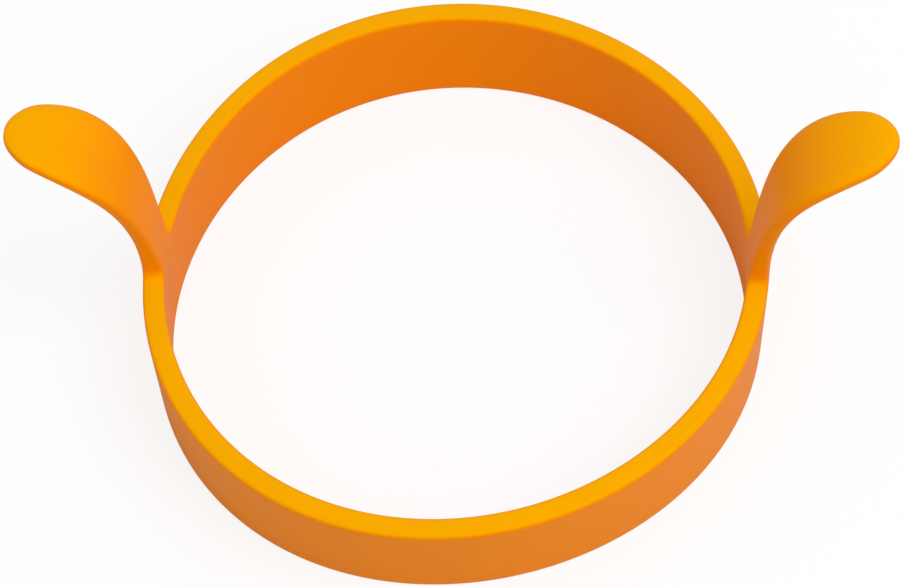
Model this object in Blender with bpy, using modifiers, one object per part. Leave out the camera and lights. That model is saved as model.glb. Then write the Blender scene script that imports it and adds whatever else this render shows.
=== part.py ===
"""A silicone egg ring: a low round band with two leaf-shaped lifting handles that bend at their necks.

Metres, +Z up. The origin is the centre of the base, on the pan, and the two handles lie along X.
"""

import math

import bmesh
import bpy

# The band, a wall turned about Z that leans out a little towards its rim
RIM_OUTER_RADIUS = 0.0500
WALL = 0.0034
BAND_HEIGHT = 0.0180
OUTER_DRAFT = 0.0011
INNER_DRAFT = 0.0006
RIM_ROUNDING = 0.0008
FOOT_ROUNDING = 0.0004
TURN_STEPS = 120
CORNER_STEPS = 4

# The neck that each handle bends at: a shoulder on the rim, a web above it, then the leaf
NECK_WIDTH = 0.0069
NECK_INSET = 0.0002
ROOT_DEPTH = 0.0015
ROOT_FILLET = 0.0022
FILLET_SINK = 0.0001
SHOULDER_HEIGHT = 0.0032
WEB_LENGTH = 0.0062
SEAM_GAP = 0.0003

# The leaf, whose middle line leaves the neck upright and curls outwards to a nearly level tip
LEAF_WIDTH = 0.0138
LEAF_WIDEST_AT = 0.0332
TIP_REACH = 0.0192
TIP_HEIGHT = 0.0334
TIP_SLOPE = math.radians(3.0)
LOWER_PULL = 0.0086
UPPER_PULL = 0.0110
TIP_THICKNESS = 0.0024
TIP_ROUNDING = 0.0100
EDGE_ROUNDING = 0.0009
CURL_STEPS = 22
FILLET_STEPS = 5
LAST_STEP_SHARE = 0.985

# Colours and finish, from the photograph, in linear light
BAND_COLOUR = (0.88, 0.37, 0.004, 1.0)
LEAF_COLOUR = (0.92, 0.40, 0.003, 1.0)
WEB_COLOUR = (0.70, 0.22, 0.010, 1.0)
SILICONE_ROUGHNESS = 0.45
SCREW_MERGE = 0.00001

# Where things come out, from the sizes above
RIM_INNER_RADIUS = RIM_OUTER_RADIUS - WALL
NECK_RADIUS = RIM_OUTER_RADIUS - WALL / 2
NECK_THICKNESS = WALL - 2 * NECK_INSET
SHOULDER_TOP = BAND_HEIGHT + SHOULDER_HEIGHT
WEB_BOTTOM = SHOULDER_TOP + SEAM_GAP
WEB_TOP = WEB_BOTTOM + WEB_LENGTH
LEAF_BOTTOM = WEB_TOP + SEAM_GAP
HINGE_HEIGHT = (WEB_BOTTOM + WEB_TOP) / 2
SIDES = {"left": -1, "right": 1}


def clear_scene():
    for thing in list(bpy.data.objects):
        bpy.data.objects.remove(thing)


def new_collection(name):
    collection = bpy.data.collections.new(name)
    bpy.context.scene.collection.children.link(collection)
    return collection


def silicone(name, colour):
    """Cured silicone rubber in one colour."""
    material = bpy.data.materials.new(name)
    material.use_nodes = True
    shader = material.node_tree.nodes["Principled BSDF"]
    shader.inputs["Base Color"].default_value = colour
    shader.inputs["Roughness"].default_value = SILICONE_ROUGHNESS
    shader.inputs["Metallic"].default_value = 0
    return material


def new_object(name, mesh, collection, material):
    piece = bpy.data.objects.new(name, mesh)
    mesh.materials.append(material)
    collection.objects.link(piece)
    return piece


def rounded(corners, radii):
    """The outline through these corners, each rounded by its radius."""
    points = []
    for index, (x, y) in enumerate(corners):
        ways = []
        for beside in (corners[index - 1], corners[(index + 1) % len(corners)]):
            length = math.hypot(beside[0] - x, beside[1] - y)
            ways.append(((beside[0] - x) / length, (beside[1] - y) / length))
        (ax, ay), (bx, by) = ways
        for step in range(CORNER_STEPS + 1):
            turn = step / CORNER_STEPS * math.pi / 2
            back, on = radii[index] * (1 - math.sin(turn)), radii[index] * (1 - math.cos(turn))
            points.append((x + ax * back + bx * on, y + ay * back + by * on))
    return points


def turned_band(collection, material):
    """The wall: its outline runs down the outside, in along the foot, and up the inside."""
    corners = [
        (RIM_OUTER_RADIUS, BAND_HEIGHT),
        (RIM_OUTER_RADIUS - OUTER_DRAFT, 0),
        (RIM_INNER_RADIUS - INNER_DRAFT, 0),
        (RIM_INNER_RADIUS, BAND_HEIGHT),
    ]
    outline = rounded(corners, [RIM_ROUNDING, FOOT_ROUNDING, FOOT_ROUNDING, RIM_ROUNDING])
    mesh = bpy.data.meshes.new("ring_band")
    edges = [(index, (index + 1) % len(outline)) for index in range(len(outline))]
    mesh.from_pydata([(radius, 0, height) for radius, height in outline], edges, [])
    band = new_object("ring_band", mesh, collection, material)
    turn = band.modifiers.new("turn about the middle", "SCREW")
    turn.steps = turn.render_steps = TURN_STEPS
    turn.use_merge_vertices = True
    turn.merge_threshold = SCREW_MERGE
    turn.use_smooth_shade = True
    return band


def half_width(along):
    """Half the width this far along the middle line above the rim, without the fillet at the root."""
    share = min(max(along / LEAF_WIDEST_AT, 0), 1)
    ease = share * share * (3 - 2 * share)
    return (NECK_WIDTH + (LEAF_WIDTH - NECK_WIDTH) * ease) / 2


def root_flare(height):
    """What the fillet between the rim and the neck adds to the half width at this height."""
    above = min(max(height - (BAND_HEIGHT - FILLET_SINK), 0), ROOT_FILLET)
    return ROOT_FILLET - math.sqrt(ROOT_FILLET**2 - (ROOT_FILLET - above) ** 2)


def neck_stations(bottom, top):
    """Sections up the straight neck: (radius, height, lean, half width, thickness)."""
    heights = {bottom, top}
    for step in range(FILLET_STEPS + 1):
        rise = ROOT_FILLET * (1 - math.cos(step / FILLET_STEPS * math.pi / 2))
        heights.add(BAND_HEIGHT - FILLET_SINK + rise)
    return [
        (NECK_RADIUS, height, 0, half_width(height - BAND_HEIGHT) + root_flare(height), NECK_THICKNESS)
        for height in sorted(heights)
        if bottom <= height <= top
    ]


def bezier(points, share):
    """(place, direction) at this share of a cubic curve through the radius and height plane."""
    rest = 1 - share
    place_shares = (rest**3, 3 * rest * rest * share, 3 * rest * share * share, share**3)
    way_shares = (rest * rest, 2 * rest * share, share * share)
    place = [sum(part * point[axis] for part, point in zip(place_shares, points)) for axis in (0, 1)]
    steps = [(b[0] - a[0], b[1] - a[1]) for a, b in zip(points, points[1:])]
    way = [sum(part * step[axis] for part, step in zip(way_shares, steps)) for axis in (0, 1)]
    return place, way


def leaf_stations():
    """Sections along the leaf, closest together where its tip is rounded."""
    tip = (NECK_RADIUS + TIP_REACH, BAND_HEIGHT + TIP_HEIGHT)
    points = [
        (NECK_RADIUS, LEAF_BOTTOM),
        (NECK_RADIUS, LEAF_BOTTOM + LOWER_PULL),
        (tip[0] - UPPER_PULL * math.cos(TIP_SLOPE), tip[1] - UPPER_PULL * math.sin(TIP_SLOPE)),
        tip,
    ]
    middle = [bezier(points, math.sin(step / CURL_STEPS * math.pi / 2)) for step in range(CURL_STEPS + 1)]
    lengths = [LEAF_BOTTOM - BAND_HEIGHT]
    for (before, _), (here, _) in zip(middle, middle[1:]):
        lengths.append(lengths[-1] + math.dist(before, here))
    stations = []
    for (place, way), along in zip(middle, lengths):
        share = (along - lengths[0]) / (lengths[-1] - lengths[0])
        thickness = NECK_THICKNESS + (TIP_THICKNESS - NECK_THICKNESS) * share
        left = lengths[-1] - along
        width_share = min(max(1 - left / TIP_ROUNDING, 0), LAST_STEP_SHARE)
        edge_share = min(max(1 - left / (TIP_THICKNESS / 2), 0), LAST_STEP_SHARE)
        stations.append(
            (
                place[0],
                place[1],
                math.atan2(way[0], way[1]),
                half_width(along) * math.sqrt(1 - width_share**2),
                thickness * math.sqrt(1 - edge_share**2),
            )
        )
    return stations


def section(station, side):
    """The rounded cross-section at one station, bowed to the band's own curve."""
    radius, height, lean, half, thickness = station
    corners = [
        (half, thickness / 2),
        (-half, thickness / 2),
        (-half, -thickness / 2),
        (half, -thickness / 2),
    ]
    rounding = min(EDGE_ROUNDING, half * LAST_STEP_SHARE, thickness / 2 * LAST_STEP_SHARE)
    points = []
    for across, out in rounded(corners, [rounding] * len(corners)):
        bow = NECK_RADIUS - math.sqrt(NECK_RADIUS**2 - across**2)
        x = radius - bow + out * math.cos(lean)
        points.append((side * x, across, height - out * math.sin(lean)))
    return points


def loft(name, stations, side, collection, material):
    """One closed skin through all the sections, with a flat cap at both ends."""
    built = bmesh.new()
    rings = [[built.verts.new(point) for point in section(station, side)] for station in stations]
    for below, above in zip(rings, rings[1:]):
        for index in range(len(below)):
            after = (index + 1) % len(below)
            built.faces.new((below[index], below[after], above[after], above[index]))
    built.faces.new(reversed(rings[0]))
    built.faces.new(rings[-1])
    bmesh.ops.recalc_face_normals(built, faces=built.faces)
    mesh = bpy.data.meshes.new(name)
    built.to_mesh(mesh)
    built.free()
    mesh.shade_smooth()
    mesh.set_sharp_from_angle(angle=math.pi / 4)
    return new_object(name, mesh, collection, material)


def join_shoulder(band, side_name, side, cutters, material):
    """The fillet and stub that a neck grows from, made one with the band."""
    stations = neck_stations(BAND_HEIGHT - ROOT_DEPTH, SHOULDER_TOP)
    shoulder = loft(side_name + "_shoulder", stations, side, cutters, material)
    shoulder.hide_render = True
    shoulder.display_type = "WIRE"
    union = band.modifiers.new(side_name + " shoulder", "BOOLEAN")
    union.operation = "UNION"
    union.solver = "EXACT"
    union.object = shoulder


def hinge_at(name, side, collection):
    """An empty on the joint's axis, which a handle hangs from."""
    hinge = bpy.data.objects.new(name, None)
    hinge.location = (side * NECK_RADIUS, 0, HINGE_HEIGHT)
    hinge.empty_display_size = NECK_WIDTH
    collection.objects.link(hinge)
    return hinge


def build():
    clear_scene()
    parts = new_collection("egg_ring")
    cutters = new_collection("cutters")
    band_silicone = silicone("band_silicone", BAND_COLOUR)
    band = turned_band(parts, band_silicone)
    for side_name, side in SIDES.items():
        join_shoulder(band, side_name, side, cutters, band_silicone)
        web_silicone = silicone(side_name + "_web_silicone", WEB_COLOUR)
        loft(side_name + "_hinge_web", neck_stations(WEB_BOTTOM, WEB_TOP), side, parts, web_silicone)
        leaf_silicone = silicone(side_name + "_handle_silicone", LEAF_COLOUR)
        handle = loft(side_name + "_handle", leaf_stations(), side, parts, leaf_silicone)
        hinge = hinge_at(side_name + "_hinge", side, parts)
        bpy.context.view_layer.update()
        handle.parent = hinge
        handle.matrix_parent_inverse = hinge.matrix_world.inverted()


build()
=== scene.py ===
# %% [markdown]
# # A silicone egg ring
#
# The real object is one moulding of orange silicone rubber: a low round band that holds an egg
# while it sets in the pan, and two leaf-shaped handles that grow out of the band's rim and curl
# outwards, so that fingers can lift the hot ring. It is one thin sheet throughout, so it is made
# here the way a paper model is made: a flat pattern is drawn, and then rolled up.
#
# The imported model comes first. It says where the band, the necks and the leaves are, and its boxes
# give some of the sizes.

import math

import bmesh
import bpy
from mathutils import Matrix, Vector, geometry


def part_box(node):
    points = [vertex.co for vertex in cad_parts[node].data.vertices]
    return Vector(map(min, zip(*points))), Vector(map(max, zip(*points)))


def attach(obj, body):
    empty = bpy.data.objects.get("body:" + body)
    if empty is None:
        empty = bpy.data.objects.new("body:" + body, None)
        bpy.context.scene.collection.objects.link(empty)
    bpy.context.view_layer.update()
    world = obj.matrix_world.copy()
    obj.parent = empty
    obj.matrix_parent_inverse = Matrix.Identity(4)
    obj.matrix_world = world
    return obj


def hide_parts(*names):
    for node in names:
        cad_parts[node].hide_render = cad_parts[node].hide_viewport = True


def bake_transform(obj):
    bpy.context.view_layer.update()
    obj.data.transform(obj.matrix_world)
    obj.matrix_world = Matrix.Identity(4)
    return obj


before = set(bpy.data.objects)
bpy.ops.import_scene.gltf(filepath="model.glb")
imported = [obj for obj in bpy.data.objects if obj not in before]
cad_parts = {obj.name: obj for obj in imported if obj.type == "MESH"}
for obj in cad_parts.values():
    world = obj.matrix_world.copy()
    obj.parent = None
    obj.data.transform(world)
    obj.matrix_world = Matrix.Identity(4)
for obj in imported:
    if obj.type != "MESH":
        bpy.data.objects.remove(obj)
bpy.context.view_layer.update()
MM = 0.001

# %% [markdown]
# ## Sizes
#
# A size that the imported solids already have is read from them: the shoulders' height from the
# band, the bending neck from the handles' foot, and the reach of the tip. The sizes that a box
# can't tell, such as the wall and the slope of its two faces, are written here in millimetres.
#
# These are the sizes of a coarse cage that is smoothed later. Smoothing draws edges and ends in
# a little, so the leaf is slightly wider and longer here than the finished one.

# %% Sizes of the band
BAND_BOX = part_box("ring_band")
RIM_RADIUS = 50.0 * MM
WALL = 3.6 * MM
FOOT_WALL = 2.6 * MM
BAND_HEIGHT = 18.3 * MM
# How much further out the wall's middle lies at the rim than at the foot
WALL_LEAN = 0.75 * MM
MIDDLE_RADIUS = RIM_RADIUS - WALL / 2
print("middle of the wall at", round(MIDDLE_RADIUS / MM, 2), "mm")

# %% Sizes of the neck
LEAF_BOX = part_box("right_handle")
SHOULDER_TOP = BAND_BOX[1].z
NECK_TOP = LEAF_BOX[0].z
NECK_WALL = 3.3 * MM
NECK_HALF_WIDTH = 3.8 * MM
ROOT_HALF_WIDTH = 3.9 * MM
NECK_LEAN = math.atan(WALL_LEAN / BAND_HEIGHT)
print("neck from", round(SHOULDER_TOP / MM, 2), "to", round(NECK_TOP / MM, 2), "mm up")

# %% Sizes of the leaf
LEAF_HALF_WIDTH = 7.42 * MM
# How far up the sheet from the rim the leaf reaches its full width
LEAF_WIDEST_AT = 31.7 * MM
TIP_WALL = 2.3 * MM
# Smoothing and the ring's smaller radius draw the tip in by more than this
TIP_PAST_SOLID = 0.3 * MM
TIP_REACH = LEAF_BOX[1].x + TIP_PAST_SOLID
TIP_HEIGHT = 51.35 * MM
TIP_SLOPE = math.radians(11.5)
TIP_ROUNDING = 13.8 * MM
# How far the leaf's curved line is pulled straight on from the rim, and back from the tip
LOWER_PULL = 20.9 * MM
UPPER_PULL = 14.2 * MM
print("tip", round(TIP_REACH / MM, 2), "mm out and", round(TIP_HEIGHT / MM, 2), "mm up")

# %% [markdown]
# ## The camera
#
# The photograph was taken from a little over half a metre away with a long lens, looking down at
# 58 degrees, so the ring is seen as a wide oval. The camera first looks straight at the middle of
# the foot. Then it pans, tilts and rolls by small angles, because the picture is not quite level.

# %% Camera
CAMERA_TARGET = Vector((-0.35 * MM, -0.3 * MM, 0))
CAMERA_DISTANCE = 591.9 * MM
CAMERA_ELEVATION = math.radians(57.64)
CAMERA_AZIMUTH = math.radians(4.68)
CAMERA_PAN = math.radians(0.082)
CAMERA_TILT = math.radians(0.447)
CAMERA_ROLL = math.radians(3.27)
# Blender counts these two in millimetres
CAMERA_LENS = 148.0
CAMERA_SENSOR = 36.0

camera = bpy.data.objects.new("camera", bpy.data.cameras.new("camera"))
bpy.context.scene.collection.objects.link(camera)
camera.data.lens = CAMERA_LENS
camera.data.sensor_width = CAMERA_SENSOR
towards_camera = Vector((
    math.sin(CAMERA_AZIMUTH) * math.cos(CAMERA_ELEVATION),
    -math.cos(CAMERA_AZIMUTH) * math.cos(CAMERA_ELEVATION),
    math.sin(CAMERA_ELEVATION),
))
level_aim = (-towards_camera).to_track_quat("-Z", "Y").to_matrix().to_4x4()
small_turns = (
    Matrix.Rotation(CAMERA_PAN, 4, "Y")
    @ Matrix.Rotation(CAMERA_TILT, 4, "X")
    @ Matrix.Rotation(-CAMERA_ROLL, 4, "Z")
)
stand = CAMERA_TARGET + towards_camera * CAMERA_DISTANCE
camera.matrix_world = Matrix.Translation(stand) @ level_aim @ small_turns
bpy.context.scene.camera = camera
print("camera at", [round(x / MM) for x in stand], "mm")

# %% [markdown]
# ## One function for every node
#
# Both the geometry and the materials below are node trees. This function adds one node: its
# settings are given by name, and each input is either a plain value or another node's output,
# which is then linked.

# %% A node with its settings and links
def add_node(tree, kind, inputs=None, **settings):
    """A new node of this kind. Each input is found by name or number, and gets a value or a link."""
    node = tree.nodes.new(kind)
    for name, value in settings.items():
        setattr(node, name, value)
    for key, value in (inputs or {}).items():
        if isinstance(value, bpy.types.NodeSocket):
            tree.links.new(value, node.inputs[key])
        else:
            node.inputs[key].default_value = value
    return node


# %% [markdown]
# ## The line of a handle
#
# Seen from the side, the middle of a handle is one smooth line. It leaves the rim as upright as
# the wall, curls outwards, and is nearly level at the tip. A Bezier line does that with four
# points: its two ends, and a pull from each end along the way that the line runs there. Its
# length says how far a handle reaches up the flat pattern.

# %% The leaf's line and its length
LINE_STEPS = 128


def leaf_line():
    """The four points of the Bezier line that the neck and the leaf follow, from rim to tip."""
    lean = Vector((math.sin(NECK_LEAN), 0, math.cos(NECK_LEAN))) * LOWER_PULL
    slope = Vector((math.cos(TIP_SLOPE), 0, math.sin(TIP_SLOPE))) * UPPER_PULL
    start = Vector((MIDDLE_RADIUS, 0, BAND_HEIGHT))
    tip = Vector((TIP_REACH, 0, TIP_HEIGHT))
    return start, start + lean, tip - slope, tip


def line_length(points):
    return sum((b - a).length for a, b in zip(points, points[1:]))


LEAF_LENGTH = line_length(geometry.interpolate_bezier(*leaf_line(), 2 * LINE_STEPS + 1))
TIP_AT = BAND_HEIGHT + LEAF_LENGTH
print("leaf", round(LEAF_LENGTH / MM, 1), "mm long; tip", round(TIP_AT / MM, 1), "mm up the sheet")

# %% [markdown]
# ## The flat pattern
#
# Cut open midway between the handles and pressed flat, the moulding is a long strip with two
# tongues. The pattern is drawn that way: x runs along the strip, z up the sheet, and y through
# its thickness. It could be a sheet with Solidify and Bevel, but a coarse solid cage under
# Subdivision Surface rounds the rim, the foot and the crotch beside each tongue in one go, and
# each rounding is set by how near the next row or column of the cage lies.

# %% Rows of the band
HALF_TURN = math.pi * MIDDLE_RADIUS
EDGE_ROW = 1.2 * MM
FOOT_ROW = 0.7 * MM
MIDDLE_ROW_SHARES = (0.3, 0.6)

BAND_ROWS = [0, FOOT_ROW]
BAND_ROWS += [BAND_HEIGHT * share for share in MIDDLE_ROW_SHARES]
BAND_ROWS += [BAND_HEIGHT - EDGE_ROW * 2, BAND_HEIGHT - EDGE_ROW, BAND_HEIGHT]
print("strip", round(2 * HALF_TURN / MM, 1), "mm long, with", len(BAND_ROWS), "rows")

# %% [markdown]
# A tongue starts a trace wider than the neck, widens with an even ease to the leaf, and closes
# over its last 14 mm in a rounded end, a little squarer than an ellipse. The corners of the grid
# are drawn in there, so that its rows and its columns both end on the rounded outline.

# %% Outline of a tongue
LEAF_STEPS = 6
ROOT_TOP = (SHOULDER_TOP + NECK_TOP) / 2
ROOT_FLARE_POWER = 2
# The rows of the rounded end, as shares of its length, and how far its corners are drawn in
TIP_ROW_SHARES = (0.0, 0.35, 0.65, 0.86, 1.0)
DRAWN_IN_SHARE = 0.25
DRAWN_IN_POWER = 2.4


def ease(share):
    """An even ease from 0 to 1, level at both ends."""
    share = min(max(share, 0), 1)
    return share * share * (3 - 2 * share)


def half_width(height):
    """Half the tongue's width at this height up the sheet."""
    widening = ease((height - BAND_HEIGHT) / LEAF_WIDEST_AT)
    root = 1 - min((height - BAND_HEIGHT) / (ROOT_TOP - BAND_HEIGHT), 1)
    plain = NECK_HALF_WIDTH + (LEAF_HALF_WIDTH - NECK_HALF_WIDTH) * widening
    return plain + (ROOT_HALF_WIDTH - NECK_HALF_WIDTH) * root**ROOT_FLARE_POWER


def tongue_rows():
    """(height, half width, how far into the rounded end) of each row from the rim to the tip."""
    heights = [BAND_HEIGHT, SHOULDER_TOP, ROOT_TOP]
    first_tip_row = TIP_AT - TIP_ROUNDING
    leaf = first_tip_row - NECK_TOP
    heights += [NECK_TOP + leaf * step / LEAF_STEPS for step in range(LEAF_STEPS)]
    heights += [first_tip_row + TIP_ROUNDING * share for share in TIP_ROW_SHARES]
    return [
        (height, half_width(height), max(height - first_tip_row, 0) / TIP_ROUNDING)
        for height in heights
    ]


print("each tongue has", len(tongue_rows()), "rows")

# %% [markdown]
# The sheet is thickest at the rim. It is thinner at the foot, which lets the ring out of its
# mould, and it thins along the handle too, most of all at the edges near the tip.

# %% Thickness of the sheet
# What the edge keeps of the thickness at the tip, and how close to the edge the thinning stays
EDGE_KEEPS_SHARE = 0.5
EDGE_POWER = 10


def half_wall(height, outwards=0.0):
    """Half the thickness at this height, and this far out across a tongue, from 0 to 1."""
    if height < BAND_HEIGHT:
        return (FOOT_WALL + (WALL - FOOT_WALL) * height / BAND_HEIGHT) / 2
    if height < SHOULDER_TOP:
        shoulder = SHOULDER_TOP - BAND_HEIGHT
        return (WALL + (NECK_WALL - WALL) * (height - BAND_HEIGHT) / shoulder) / 2
    share = (height - BAND_HEIGHT) / LEAF_LENGTH
    edge_share = 1 - (1 - EDGE_KEEPS_SHARE) * share * outwards**EDGE_POWER
    return (NECK_WALL + (TIP_WALL - NECK_WALL) * share) / 2 * edge_share


print("wall", [round(2 * half_wall(height) / MM, 2) for height in (0, BAND_HEIGHT, TIP_AT)], "mm")

# %% [markdown]
# The columns of a tongue run on down through the band. The outer ones lie near the tongue's edge,
# and a little further in up in the leaf, whose edge is rounder. Beside each tongue a gap is left
# without columns, and smoothing turns it into the crotch.

# %% Columns across a tongue and along the strip
LEAF_EDGE_ROW = 2.2 * MM
# The outer columns never lie further from the edge than this share of the half width
LAST_COLUMN_SHARE = 0.45
# The gap beside a tongue, and the steps from there to the middle between the handles
CROTCH = 3.2 * MM
STRIP_STEPS = 20


def leafiness(height):
    """0 at the neck's foot and 1 in the leaf."""
    return ease((height - SHOULDER_TOP) / (NECK_TOP - SHOULDER_TOP))


def across_shares(height, half):
    """Places across a tongue, as shares of its half width."""
    edge_row = EDGE_ROW + (LEAF_EDGE_ROW - EDGE_ROW) * leafiness(height)
    edge = 1 - min(edge_row / half, LAST_COLUMN_SHARE)
    return [-1, -edge, -edge / 2, 0, edge / 2, edge, 1]


def strip_columns():
    """Places along the whole strip: columns round one handle, and the same round the other."""
    beside = ROOT_HALF_WIDTH + CROTCH
    reach = HALF_TURN / 2 - beside
    plain = [beside + reach * step / STRIP_STEPS for step in range(STRIP_STEPS + 1)]
    root = [share * ROOT_HALF_WIDTH for share in across_shares(BAND_HEIGHT, ROOT_HALF_WIDTH)]
    places = [-place for place in reversed(plain)] + root + plain
    first = [place - HALF_TURN / 2 for place in places]
    second = [place + HALF_TURN / 2 for place in places[1:]]
    return first + second


print("the strip has", len(strip_columns()), "columns")

# %% [markdown]
# The cage has two skins, one for each face of the sheet, and an end strip that closes it wherever
# the sheet ends: along the foot and the rim, and round each tongue. A small class keeps the points
# by their column, row and side, so that each is made once.

# %% A cage that makes each point once
# Where the end strip's points lie, from the inner skin at -1 to the outer skin at 1
END_STRIP_PLACES = (-1.0, -0.36, 0.36, 1.0)
# What the two middle ones keep of that in the leaf, where the end strip is rounder
LEAF_STRIP_KEEPS = 0.4
# Two places are the same if they agree to this many digits of a millimetre
KEY_DIGITS = 4


class Pattern:
    """The flat cage, whose points are found again by their place."""

    def __init__(self):
        self.mesh = bmesh.new()
        self.points = {}

    def point(self, x, height, outwards, share):
        """The point at this place, on a skin where share is -1 or 1, and else on the end strip."""
        key = (round(x / MM, KEY_DIGITS), round(height / MM, KEY_DIGITS), share)
        if key not in self.points:
            on_skin = abs(share) == 1
            rounder = 1 if on_skin else 1 - (1 - LEAF_STRIP_KEEPS) * leafiness(height)
            y = half_wall(height, outwards) * share * rounder
            self.points[key] = self.mesh.verts.new((x, y, height))
        return self.points[key]

    def patch(self, corners):
        """Both skins of one cell, whose corners run round it as (x, height, outwards)."""
        self.mesh.faces.new([self.point(*corner, -1.0) for corner in corners])
        self.mesh.faces.new([self.point(*corner, 1.0) for corner in reversed(corners)])

    def end_strip(self, start, end):
        """The end strip from one corner to the next, with the sheet on its left side."""
        for near, far in zip(END_STRIP_PLACES, END_STRIP_PLACES[1:]):
            corners = [(*start, near), (*start, far), (*end, far), (*end, near)]
            self.mesh.faces.new([self.point(*corner) for corner in corners])


# %% The strip
def draw_strip(pattern):
    """The band, with an end strip along its foot, and along its rim where no tongue stands."""
    columns = strip_columns()
    for left, right in zip(columns, columns[1:]):
        for low, high in zip(BAND_ROWS, BAND_ROWS[1:]):
            pattern.patch([(left, low, 0), (right, low, 0), (right, high, 0), (left, high, 0)])
        pattern.end_strip((left, 0, 0), (right, 0, 0))
        from_handle = abs(abs((left + right) / 2) - HALF_TURN / 2)
        if from_handle > ROOT_HALF_WIDTH:
            pattern.end_strip((right, BAND_HEIGHT, 0), (left, BAND_HEIGHT, 0))


# %% The tongues
def draw_tongue(pattern, centre):
    """One neck and leaf, with an end strip up both sides and round the tip."""
    rows = []
    for height, half, along in tongue_rows():
        narrowed = half * (1 - DRAWN_IN_SHARE * along**DRAWN_IN_POWER)
        row = []
        for across in across_shares(height, half):
            lowered = TIP_ROUNDING * along * DRAWN_IN_SHARE * abs(across) ** DRAWN_IN_POWER
            row.append((centre + across * narrowed, height - lowered, max(abs(across), along)))
        rows.append(row)
    for below, above in zip(rows, rows[1:]):
        for index in range(len(below) - 1):
            pattern.patch([below[index], below[index + 1], above[index + 1], above[index]])
        pattern.end_strip(below[-1], above[-1])
        pattern.end_strip(above[0], below[0])
    for left, right in zip(rows[-1], rows[-1][1:]):
        pattern.end_strip(right, left)


# %% The whole flat pattern
def flat_pattern():
    pattern = Pattern()
    draw_strip(pattern)
    for centre in (-HALF_TURN / 2, HALF_TURN / 2):
        draw_tongue(pattern, centre)
    mesh = bpy.data.meshes.new("flat_pattern")
    pattern.mesh.to_mesh(mesh)
    pattern.mesh.free()
    moulding = bpy.data.objects.new("moulding", mesh)
    bpy.context.scene.collection.objects.link(moulding)
    return moulding


moulding = flat_pattern()
print("flat pattern:", len(moulding.data.polygons), "faces, both skins and the end strip")

# %% [markdown]
# Two levels of Subdivision Surface turn the cage into the smooth flat sheet. This comes before
# the rolling, so a straight wall stays straight here and is exactly round afterwards.

# %% Smooth the flat pattern
SMOOTH_LEVELS = 2
smooth = moulding.modifiers.new("rounded edges", "SUBSURF")
smooth.levels = smooth.render_levels = SMOOTH_LEVELS
print("smoothed over", smooth.levels, "levels")

# %% [markdown]
# ## Rolling it up
#
# The rule is short. A point's place along the strip becomes an angle round the ring. Its height
# is followed up the wall, which leans out a little, and from the rim on along the Bezier line that
# curls outwards. Its thickness is laid off square to that line. Geometry Nodes do this well: the
# Bezier line is a node, Sample Curve gives the place and the direction at any length along it,
# and every size is a named input that can be changed without touching the mesh.
#
# The inputs from the moves on are for softness. A band this thin doesn't sit perfectly round on a
# table: the one in the picture is pressed a little oval, with a trace of three lobes, and its foot
# and rim are not pressed quite alike. The moves and the two mean shares, one for the rim and one
# for the foot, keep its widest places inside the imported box.

# %% Sizes that the tree asks for
ROLL_INPUTS = {
    "Middle radius": MIDDLE_RADIUS,
    "Strip to first handle": HALF_TURN / 2,
    "Band height": BAND_HEIGHT,
    "Wall lean": WALL_LEAN,
    "Moved in x": -0.31 * MM,
    "Moved in y": -0.18 * MM,
    "Rim mean share": 0.9873,
    "Rim oval share": 0.0183,
    "Rim oval towards": math.radians(64.8),
    "Rim lobe share": 0.0087,
    "Rim lobe towards": math.radians(-9.2),
    "Foot mean share": 0.9874,
    "Foot oval share": 0.0142,
    "Foot oval towards": math.radians(44.2),
    "Foot lobe share": 0.0113,
    "Foot lobe towards": math.radians(-13.2),
}
LINE_INPUTS = dict(zip(("Leaf start", "Lower pull", "Upper pull", "Leaf tip"), leaf_line()))
print("the tree asks for", len(ROLL_INPUTS) + len(LINE_INPUTS), "sizes")

# %% An empty tree with its named inputs
def open_tree():
    """The tree, and its inputs as the nodes inside see them."""
    tree = bpy.data.node_groups.new("roll up the flat pattern", "GeometryNodeTree")
    tree.interface.new_socket("Geometry", in_out="INPUT", socket_type="NodeSocketGeometry")
    for name in ROLL_INPUTS:
        tree.interface.new_socket(name, in_out="INPUT", socket_type="NodeSocketFloat")
    for name in LINE_INPUTS:
        tree.interface.new_socket(name, in_out="INPUT", socket_type="NodeSocketVector")
    tree.interface.new_socket("Material", in_out="INPUT", socket_type="NodeSocketMaterial")
    tree.interface.new_socket("Geometry", in_out="OUTPUT", socket_type="NodeSocketGeometry")
    return tree, add_node(tree, "NodeGroupInput").outputs


# %% [markdown]
# The first handle of the strip comes to stand on the left, at -X, and the strip runs round from
# there. The soft band's radius then swells and shrinks with that angle: a cosine of twice the
# angle makes an oval, and a cosine of three times the angle makes three lobes.

# %% The angle round the ring
def angle_round_ring(tree, given, flat):
    """Each point's angle, from its place along the strip."""
    from_first = add_node(
        tree, "ShaderNodeMath", {0: flat["X"], 1: given["Strip to first handle"]}, operation="ADD"
    ).outputs[0]
    turned = add_node(
        tree, "ShaderNodeMath", {0: from_first, 1: given["Middle radius"]}, operation="DIVIDE"
    ).outputs[0]
    return add_node(
        tree, "ShaderNodeMath", {0: math.pi, 1: turned}, operation="SUBTRACT"
    ).outputs[0]


# %% How far from round the band is
OUT_OF_ROUND = ((2, "oval"), (3, "lobe"))


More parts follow.
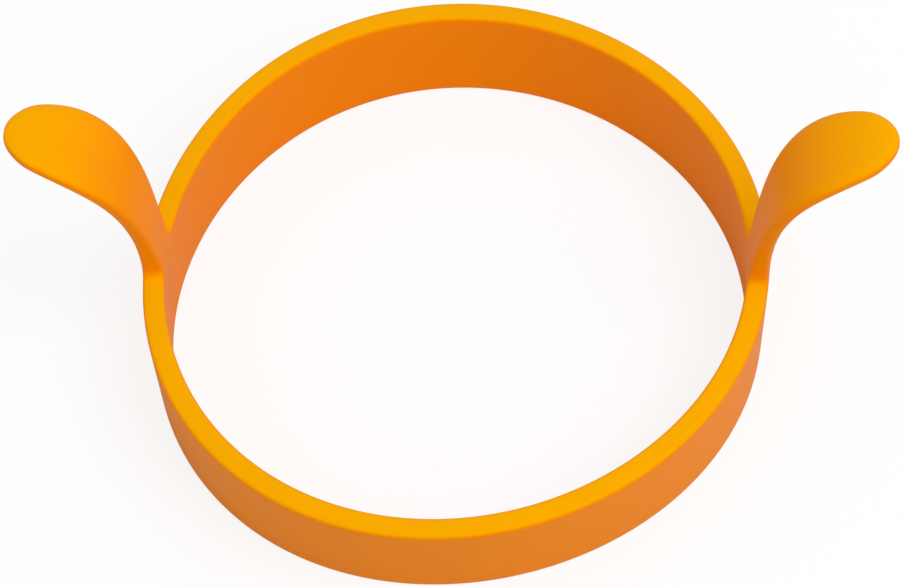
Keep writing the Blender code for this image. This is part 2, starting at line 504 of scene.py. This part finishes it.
def soft_share(tree, given, angle, edge):
    """The share of the radius that the band has at this angle, at its rim or at its foot."""
    share = given[f"{edge} mean share"]
    for count, form in OUT_OF_ROUND:
        away = add_node(
            tree, "ShaderNodeMath", {0: angle, 1: given[f"{edge} {form} towards"]}, operation="SUBTRACT"
        ).outputs[0]
        wave = add_node(
            tree, "ShaderNodeMath", {0: away, 1: float(count)}, operation="MULTIPLY"
        ).outputs[0]
        swell = add_node(tree, "ShaderNodeMath", {0: wave}, operation="COSINE").outputs[0]
        share = add_node(
            tree,
            "ShaderNodeMath",
            {0: swell, 1: given[f"{edge} {form} share"], 2: share},
            operation="MULTIPLY_ADD",
        ).outputs[0]
    return share


# %% [markdown]
# What of a point's height lies above the rim is a length along the leaf's line. The line is drawn
# for the handle at +X, so what it gives outwards is turned round for the handle at -X.

# %% The place and the direction on the leaf's line
def along_leaf_line(tree, given, past_rim):
    """Where each point comes on the line, and which way the line runs there."""
    line = add_node(
        tree,
        "GeometryNodeCurvePrimitiveBezierSegment",
        {
            "Resolution": LINE_STEPS,
            "Start": given["Leaf start"],
            "Start Handle": given["Lower pull"],
            "End Handle": given["Upper pull"],
            "End": given["Leaf tip"],
        },
        mode="POSITION",
    ).outputs[0]
    followed = add_node(
        tree, "ShaderNodeMath", {0: past_rim, 1: 0.0}, operation="MAXIMUM"
    ).outputs[0]
    sample = add_node(
        tree, "GeometryNodeSampleCurve", {"Curves": line, "Length": followed}, mode="LENGTH"
    ).outputs
    on_line = add_node(tree, "ShaderNodeSeparateXYZ", {0: sample["Position"]}).outputs
    heading = add_node(tree, "ShaderNodeSeparateXYZ", {0: sample["Tangent"]}).outputs
    return on_line, heading


# %% How far the curl carries a point outwards
def curl_outwards(tree, given, cosine, on_line):
    """How far along X the curl carries a point, towards the handle that it belongs to."""
    curl = add_node(
        tree, "ShaderNodeMath", {0: on_line["X"], 1: given["Middle radius"]}, operation="SUBTRACT"
    ).outputs[0]
    side = add_node(tree, "ShaderNodeMath", {0: cosine}, operation="SIGN").outputs[0]
    return add_node(tree, "ShaderNodeMath", {0: curl, 1: side}, operation="MULTIPLY").outputs[0]


# %% [markdown]
# The wall leans out from the foot to the rim. The thickness is laid off square to the line: where
# the line stands upright, all of it counts outwards, and where the line is level, all of it counts
# in height.

# %% How far out and how high a point lies
def wall_radius(tree, given, flat, up_band, heading):
    """The radius of the leaning wall, with the thickness."""
    lean = add_node(
        tree, "ShaderNodeMapRange", {"Value": up_band, "To Min": given["Wall lean"], "To Max": 0.0}
    ).outputs[0]
    leaning = add_node(
        tree, "ShaderNodeMath", {0: given["Middle radius"], 1: lean}, operation="SUBTRACT"
    ).outputs[0]
    return add_node(
        tree, "ShaderNodeMath", {0: flat["Y"], 1: heading["Z"], 2: leaning}, operation="MULTIPLY_ADD"
    ).outputs[0]


def wall_height(tree, flat, up_band, past_rim, on_line, heading):
    """The height on the wall or on the line, with the thickness."""
    below_rim = add_node(
        tree, "ShaderNodeMath", {0: past_rim, 1: 0.0}, operation="MINIMUM"
    ).outputs[0]
    line_height = add_node(
        tree, "ShaderNodeMath", {0: on_line["Z"], 1: below_rim}, operation="ADD"
    ).outputs[0]
    tilt = add_node(
        tree, "ShaderNodeMath", {0: up_band, 1: heading["X"]}, operation="MULTIPLY"
    ).outputs[0]
    drop = add_node(
        tree, "ShaderNodeMath", {0: flat["Y"], 1: tilt}, operation="MULTIPLY"
    ).outputs[0]
    return add_node(
        tree, "ShaderNodeMath", {0: line_height, 1: drop}, operation="SUBTRACT"
    ).outputs[0]


# %% [markdown]
# The parts of the rule now come together. The soft band's share goes from the foot's to the
# rim's with height, and stretches the wall but not the curl.

# %% Each point's rolled place
def rolled_place(tree, given):
    place = add_node(tree, "GeometryNodeInputPosition").outputs[0]
    flat = add_node(tree, "ShaderNodeSeparateXYZ", {0: place}).outputs
    angle = angle_round_ring(tree, given, flat)
    cosine = add_node(tree, "ShaderNodeMath", {0: angle}, operation="COSINE").outputs[0]
    sine = add_node(tree, "ShaderNodeMath", {0: angle}, operation="SINE").outputs[0]
    past_rim = add_node(
        tree, "ShaderNodeMath", {0: flat["Z"], 1: given["Band height"]}, operation="SUBTRACT"
    ).outputs[0]
    up_band = add_node(
        tree, "ShaderNodeMapRange", {"Value": flat["Z"], "From Max": given["Band height"]}
    ).outputs[0]
    on_line, heading = along_leaf_line(tree, given, past_rim)
    height = wall_height(tree, flat, up_band, past_rim, on_line, heading)

    share = add_node(
        tree,
        "ShaderNodeMapRange",
        {
            "Value": up_band,
            "To Min": soft_share(tree, given, angle, "Foot"),
            "To Max": soft_share(tree, given, angle, "Rim"),
        },
    ).outputs[0]
    radius = wall_radius(tree, given, flat, up_band, heading)
    soft_radius = add_node(
        tree, "ShaderNodeMath", {0: radius, 1: share}, operation="MULTIPLY"
    ).outputs[0]
    curl = curl_outwards(tree, given, cosine, on_line)
    out_x = add_node(
        tree, "ShaderNodeMath", {0: curl, 1: given["Moved in x"]}, operation="ADD"
    ).outputs[0]
    x = add_node(
        tree, "ShaderNodeMath", {0: soft_radius, 1: cosine, 2: out_x}, operation="MULTIPLY_ADD"
    ).outputs[0]
    y = add_node(
        tree,
        "ShaderNodeMath",
        {0: soft_radius, 1: sine, 2: given["Moved in y"]},
        operation="MULTIPLY_ADD",
    ).outputs[0]
    return add_node(tree, "ShaderNodeCombineXYZ", {"X": x, "Y": y, "Z": height}).outputs[0]


# %% The tree that rolls the strip and curls the tongues
# The strip's two ends come to lie on each other, and points this near are made one
MERGE_WITHIN = 0.02 * MM


def rolling_tree():
    tree, given = open_tree()
    rolled = add_node(
        tree,
        "GeometryNodeSetPosition",
        {"Geometry": given["Geometry"], "Position": rolled_place(tree, given)},
    ).outputs[0]
    closed = add_node(
        tree, "GeometryNodeMergeByDistance", {"Geometry": rolled, "Distance": MERGE_WITHIN}
    ).outputs[0]
    realized = add_node(tree, "GeometryNodeRealizeInstances", {"Geometry": closed}).outputs[0]
    finished = add_node(
        tree, "GeometryNodeSetMaterial", {"Geometry": realized, "Material": given["Material"]}
    ).outputs[0]
    add_node(tree, "NodeGroupOutput", {0: finished})
    return tree


roll_up = rolling_tree()
print("rolling tree:", len(roll_up.nodes), "nodes")

# %% [markdown]
# ## Silicone
#
# The real material is platinum-cured silicone rubber, pigmented orange and moulded in a polished
# and then lightly blasted steel mould. That leaves a satin skin: no sharp reflections, a broad
# soft sheen, and a whitish veil where the eye skims along a wall. Silicone also lets light in.
# Where a face looks up at the light it is painted golden, and where light only skims it, it is painted
# deep orange: this is painted light and shade in the colour, not real scattering. Real scattering stops
# where one piece ends and the next begins, and would show a seam at each neck, so the two painted
# colours are mixed by a value kept on each point instead: how far the surface faces up.

# %% Colours
def from_hex(code):
    """A colour written as sRGB hex digits, turned to linear light."""
    channels = [int(code[index : index + 2], 16) / 255 for index in (1, 3, 5)]
    linear = [c / 12.92 if c <= 0.04045 else ((c + 0.055) / 1.055) ** 2.4 for c in channels]
    return (*linear, 1.0)


# Painted light and shade: the golden orange stands for faces lit from above, the deep orange for walls
# that the light only skims.
PAINTED_SHADE_ORANGE = from_hex("#FF9000")
PAINTED_LIGHT_GOLDEN = from_hex("#F9AB00")
SHEEN_ORANGE = from_hex("#FF8C00")
print("golden orange in linear light:", [round(channel, 3) for channel in PAINTED_LIGHT_GOLDEN[:3]])

# %% The finish of the silicone
PAINTED_LIGHT_ATTRIBUTE = "painted_light_share"
SILICONE_IOR = 1.41
SATIN_SPECULAR = 0.12
SATIN_ROUGHNESS = 0.38
SATIN_DRIFT = 0.05
CLOUD_SIZE = 9.0 * MM
CLOUD_DETAIL = 3.0
CLOUD_VALUES = (0.97, 1.03)
# The real blasted grain is about 0.05 mm, and is drawn coarser so that it shows
GRAIN_SIZE = 0.30 * MM
GRAIN_DETAIL = 2.0
GRAIN_DEPTH = 0.010 * MM
print("grain", round(GRAIN_SIZE / MM, 2), "mm wide and", round(GRAIN_DEPTH / MM, 3), "mm deep")

# %% The painted light and shade in the colour
def clouded_pigment_with_painted_light(tree, clouds):
    """Painted light and shade: deep orange where light skims the wall and golden where the surface
    faces up, with slow clouds in it.
    """
    # How far the point faces up sets how much painted light it gets.
    painted_light_facing = add_node(tree, "ShaderNodeAttribute", attribute_name=PAINTED_LIGHT_ATTRIBUTE).outputs["Fac"]
    # A Mix node's inputs 6 and 7 and its output 2 are its colours
    painted_light_pigment = add_node(
        tree, "ShaderNodeMix", {0: painted_light_facing, 6: PAINTED_SHADE_ORANGE, 7: PAINTED_LIGHT_GOLDEN}, data_type="RGBA"
    ).outputs[2]
    cloud_value = add_node(
        tree,
        "ShaderNodeMapRange",
        {"Value": clouds, "To Min": CLOUD_VALUES[0], "To Max": CLOUD_VALUES[1]},
    ).outputs[0]
    return add_node(
        tree, "ShaderNodeHueSaturation", {"Value": cloud_value, "Color": painted_light_pigment}
    ).outputs[0]


# %% The satin skin
def satin_skin(tree, place, clouds):
    """The blasted steel's grain, and a roughness that drifts a little with handling."""
    grain = add_node(
        tree, "ShaderNodeTexNoise", {"Vector": place, "Scale": 1 / GRAIN_SIZE, "Detail": GRAIN_DETAIL}
    ).outputs["Fac"]
    bump = add_node(
        tree, "ShaderNodeBump", {"Strength": 1.0, "Distance": GRAIN_DEPTH, "Height": grain}
    ).outputs[0]
    satin = add_node(
        tree,
        "ShaderNodeMapRange",
        {
            "Value": clouds,
            "To Min": SATIN_ROUGHNESS - SATIN_DRIFT,
            "To Max": SATIN_ROUGHNESS + SATIN_DRIFT,
        },
    ).outputs[0]
    return bump, satin


# %% The silicone's node tree
def moulded_silicone(name):
    """Satin pigmented silicone, from a blasted steel mould."""
    material = bpy.data.materials.new(name)
    material.use_nodes = True
    tree = material.node_tree
    shader = tree.nodes["Principled BSDF"]
    shader.inputs["IOR"].default_value = SILICONE_IOR
    shader.inputs["Metallic"].default_value = 0.0
    shader.inputs["Specular IOR Level"].default_value = SATIN_SPECULAR
    shader.inputs["Specular Tint"].default_value = SHEEN_ORANGE
    place = add_node(tree, "ShaderNodeTexCoord").outputs["Object"]

    # The clouds come from where the two mixed parts of the rubber met in the mould
    clouds = add_node(
        tree, "ShaderNodeTexNoise", {"Vector": place, "Scale": 1 / CLOUD_SIZE, "Detail": CLOUD_DETAIL}
    ).outputs["Fac"]
    bump, satin = satin_skin(tree, place, clouds)
    tree.links.new(clouded_pigment_with_painted_light(tree, clouds), shader.inputs["Base Color"])
    tree.links.new(bump, shader.inputs["Normal"])
    tree.links.new(satin, shader.inputs["Roughness"])
    return material


band_silicone = moulded_silicone("band_silicone")
handle_silicone = moulded_silicone("handle_silicone")
print("silicone:", len(band_silicone.node_tree.nodes), "nodes")

# %% [markdown]
# ## Rolled, and parted at the necks
#
# The modifier's inputs are set by each socket's identifier, before anything is evaluated. The result is
# one plain mesh. It is then parted just above each shoulder, along a row of its own edges, into the
# ring and the two handles; the ring moves with its own body. The parted ends are closed with a flat cap
# that keeps a sharp edge, so the skins on both sides of the joint shade as one, and no seam shows.

# %% Roll up the moulding
rolling = moulding.modifiers.new("roll up", "NODES")
rolling.node_group = roll_up
identifiers = {
    item.name: item.identifier for item in roll_up.interface.items_tree if item.in_out == "INPUT"
}
for name, value in {**ROLL_INPUTS, **LINE_INPUTS, "Material": band_silicone}.items():
    rolling[identifiers[name]] = value
bpy.context.view_layer.update()
seen = bpy.context.evaluated_depsgraph_get()
whole = bpy.data.meshes.new_from_object(moulding.evaluated_get(seen), depsgraph=seen)
moulding.modifiers.clear()
bpy.data.objects.remove(moulding)
print("rolled:", len(whole.vertices), "points and", len(whole.polygons), "faces")

# %% Keep on each point how far it faces up, which sets its painted light and shade
PAINTED_LIGHT_POWER = 2
# How far each point faces up, kept to paint light and shade into the colour.
painted_light_share = whole.attributes.new(PAINTED_LIGHT_ATTRIBUTE, "FLOAT", "POINT")
painted_light_by_point = [max(normal.vector.z, 0) ** PAINTED_LIGHT_POWER for normal in whole.vertex_normals]
painted_light_share.data.foreach_set("value", painted_light_by_point)
print("points that face up:", sum(share > 0.5 for share in painted_light_by_point))

# %% Part it at the necks
PART_ABOVE_SHOULDER = 0.15 * MM
PART_AT = SHOULDER_TOP + PART_ABOVE_SHOULDER


def belongs(face, side):
    """Whether the face is part of the handle on this side, or of the ring where side is 0."""
    centre = face.calc_center_median()
    if centre.z < PART_AT:
        return side == 0
    return side == (1 if centre.x > 0 else -1)


def parted(name, side, silicone):
    """The ring or one handle, cut from the whole and closed."""
    built = bmesh.new()
    built.from_mesh(whole)
    others = [face for face in built.faces if not belongs(face, side)]
    bmesh.ops.delete(built, geom=others, context="FACES")
    ends = [edge for edge in built.edges if edge.is_boundary]
    caps = bmesh.ops.holes_fill(built, edges=ends)["faces"]
    bmesh.ops.recalc_face_normals(built, faces=built.faces)
    for face in built.faces:
        face.smooth = True
    for cap in caps:
        cap.smooth = False
        for edge in cap.edges:
            edge.smooth = False
    mesh = bpy.data.meshes.new(name)
    built.to_mesh(mesh)
    built.free()
    mesh.materials.clear()
    mesh.materials.append(silicone)
    piece = bpy.data.objects.new(name, mesh)
    bpy.context.scene.collection.objects.link(piece)
    print(name, len(mesh.polygons), "faces;", len(caps), "caps")
    return piece


ring = parted("silicone_ring", 0, band_silicone)
handles = {"left": parted("left_silicone_handle", -1, handle_silicone)}
handles["right"] = parted("right_silicone_handle", 1, handle_silicone)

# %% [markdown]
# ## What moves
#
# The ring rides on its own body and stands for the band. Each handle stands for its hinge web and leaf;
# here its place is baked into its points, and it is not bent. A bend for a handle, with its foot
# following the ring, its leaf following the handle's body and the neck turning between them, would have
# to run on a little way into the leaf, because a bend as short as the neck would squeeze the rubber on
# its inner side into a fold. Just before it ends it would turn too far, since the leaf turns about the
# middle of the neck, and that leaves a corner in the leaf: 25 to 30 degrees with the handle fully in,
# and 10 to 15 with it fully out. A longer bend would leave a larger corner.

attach(ring, "ring")
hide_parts("ring_band")
for side_name, handle in handles.items():
    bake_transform(handle)
    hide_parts(side_name + "_hinge_web", side_name + "_handle")

# %% [markdown]
# ## Floor and light
#
# A plain white floor and backdrop, one broad soft lamp above, to the right and a little in front,
# and an even white surround, as in a light tent. The camera sees the floor as a lit white table,
# so about four fifths of what it sees are plain white, and the rest is what the light really
# leaves there, with the ring's faint shadow. To the ring itself the floor is a light grey, and its
# bounce is gentle.

# %% Floor
FLOOR_SIZE = 3.0
WHITE = from_hex("#FFFFFF")
PLAIN_WHITE_SHARE = 0.82
BOUNCE_SHARE = 0.64


def white_floor():
    material = bpy.data.materials.new("white_sweep")
    material.use_nodes = True
    tree = material.node_tree
    shader = tree.nodes["Principled BSDF"]
    shader.inputs["Roughness"].default_value = 1.0
    shader.inputs["Specular IOR Level"].default_value = 0.0
    shader.inputs["Emission Color"].default_value = WHITE
    camera_sees = add_node(tree, "ShaderNodeLightPath").outputs["Is Camera Ray"]
    lit = add_node(
        tree,
        "ShaderNodeMapRange",
        {"Value": camera_sees, "To Min": BOUNCE_SHARE, "To Max": 1 - PLAIN_WHITE_SHARE},
    ).outputs[0]
    plain = add_node(
        tree, "ShaderNodeMapRange", {"Value": camera_sees, "To Min": 0.0, "To Max": PLAIN_WHITE_SHARE}
    ).outputs[0]
    tree.links.new(lit, shader.inputs["Base Color"])
    tree.links.new(plain, shader.inputs["Emission Strength"])
    mesh = bpy.data.meshes.new("floor")
    half = FLOOR_SIZE / 2
    corners = [(-half, -half, 0), (half, -half, 0), (half, half, 0), (-half, half, 0)]
    mesh.from_pydata(corners, [], [(0, 1, 2, 3)])
    mesh.materials.append(material)
    floor = bpy.data.objects.new("floor", mesh)
    bpy.context.scene.collection.objects.link(floor)
    print("floor", FLOOR_SIZE, "m wide")


white_floor()

# %% The lamp
KEY_POWER = 4.5
KEY_SIZE = 0.7
KEY_FROM = Vector((0.44, -0.30, 0.90))


def soft_lamp(name, place, size, power):
    """A round lamp that shines on the middle of the ring."""
    lamp = bpy.data.objects.new(name, bpy.data.lights.new(name, "AREA"))
    lamp.data.shape = "DISK"
    lamp.data.size = size
    lamp.data.energy = power
    lamp.location = place
    lamp.rotation_mode = "QUATERNION"
    lamp.rotation_quaternion = (-place).to_track_quat("-Z", "Y")
    bpy.context.scene.collection.objects.link(lamp)
    print(name, "lamp", round(place.length, 2), "m away and", size, "m across")


soft_lamp("key", KEY_FROM, KEY_SIZE, KEY_POWER)

# %% The surround
SURROUND = 0.66
PLAIN_WHITE = 1.0

world = bpy.data.worlds.new("surround")
bpy.context.scene.world = world
world.use_nodes = True
backdrop = world.node_tree.nodes["Background"]
backdrop.inputs["Color"].default_value = WHITE
camera_sees = add_node(world.node_tree, "ShaderNodeLightPath").outputs["Is Camera Ray"]
level = add_node(
    world.node_tree,
    "ShaderNodeMapRange",
    {"Value": camera_sees, "To Min": SURROUND, "To Max": PLAIN_WHITE},
).outputs[0]
world.node_tree.links.new(level, backdrop.inputs["Strength"])
bpy.context.scene.view_settings.view_transform = "Standard"
print("surround lights the ring at", SURROUND, "and looks white to the camera")
